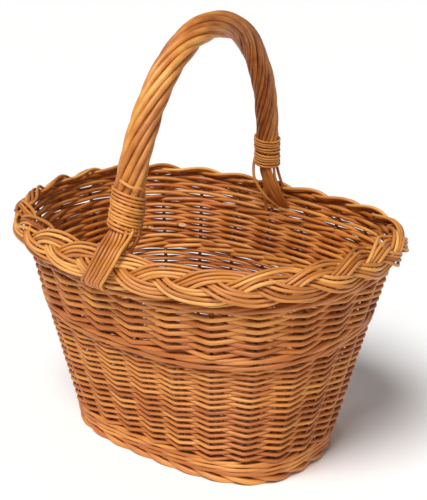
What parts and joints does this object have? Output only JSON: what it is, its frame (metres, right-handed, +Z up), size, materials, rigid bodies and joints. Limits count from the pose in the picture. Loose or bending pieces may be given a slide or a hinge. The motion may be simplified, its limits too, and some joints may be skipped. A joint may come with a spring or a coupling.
{
  "type": "woven market basket",
  "caption": "Oval willow basket with flared randed sides, a thick braided border and one fixed arched handle roped with twisted rods.",
  "frame": {"origin": "centre of the base, on the ground", "axes": "+Z up, +X along the basket's long axis, the handle arches across the short axis Y"},
  "size_m": [0.42, 0.3404, 0.456],
  "materials": {
    "stake_willow": "satin, boiled red-brown willow",
    "siding_willow": "satin, boiled and peeled buff willow, orange-brown",
    "wale_willow": "satin, thicker buff willow",
    "border_willow": "satin, golden buff willow",
    "handle_willow": "satin, golden buff willow",
    "lashing_willow": "satin, thin buff willow",
    "base_willow": "matt buff willow"
  },
  "bodies": {
    "root": {"stake_01": "stake_willow", "stake_02": "stake_willow", "stake_03": "stake_willow", "stake_04": "stake_willow", "stake_05": "stake_willow", "stake_06": "stake_willow", "stake_07": "stake_willow", "stake_08": "stake_willow", "stake_09": "stake_willow", "stake_10": "stake_willow", "stake_11": "stake_willow", "stake_12": "stake_willow", "stake_13": "stake_willow", "stake_14": "stake_willow", "stake_15": "stake_willow", "stake_16": "stake_willow", "stake_17": "stake_willow", "stake_18": "stake_willow", "stake_19": "stake_willow", "stake_20": "stake_willow", "stake_21": "stake_willow", "stake_22": "stake_willow", "stake_23": "stake_willow", "stake_24": "stake_willow", "base_cross_stick_1": "base_willow", "base_cross_stick_2": "base_willow", "base_cross_stick_3": "base_willow", "base_cross_stick_4": "base_willow", "base_cross_stick_5": "base_willow", "base_long_stick_1": "base_willow", "base_long_stick_2": "base_willow", "base_long_stick_3": "base_willow", "base_weave": "base_willow", "foot_wale": "wale_willow", "upsett_wale": "wale_willow", "middle_wale": "wale_willow", "top_wale": "wale_willow", "lower_siding": "siding_willow", "upper_siding": "siding_willow", "border_plait": "border_willow", "handle_bow": "handle_willow", "handle_rope": "handle_willow", "near_foot_rods": "handle_willow", "far_foot_rods": "handle_willow", "near_lashing": "lashing_willow", "far_lashing": "lashing_willow"}
  },
  "joints": []
}
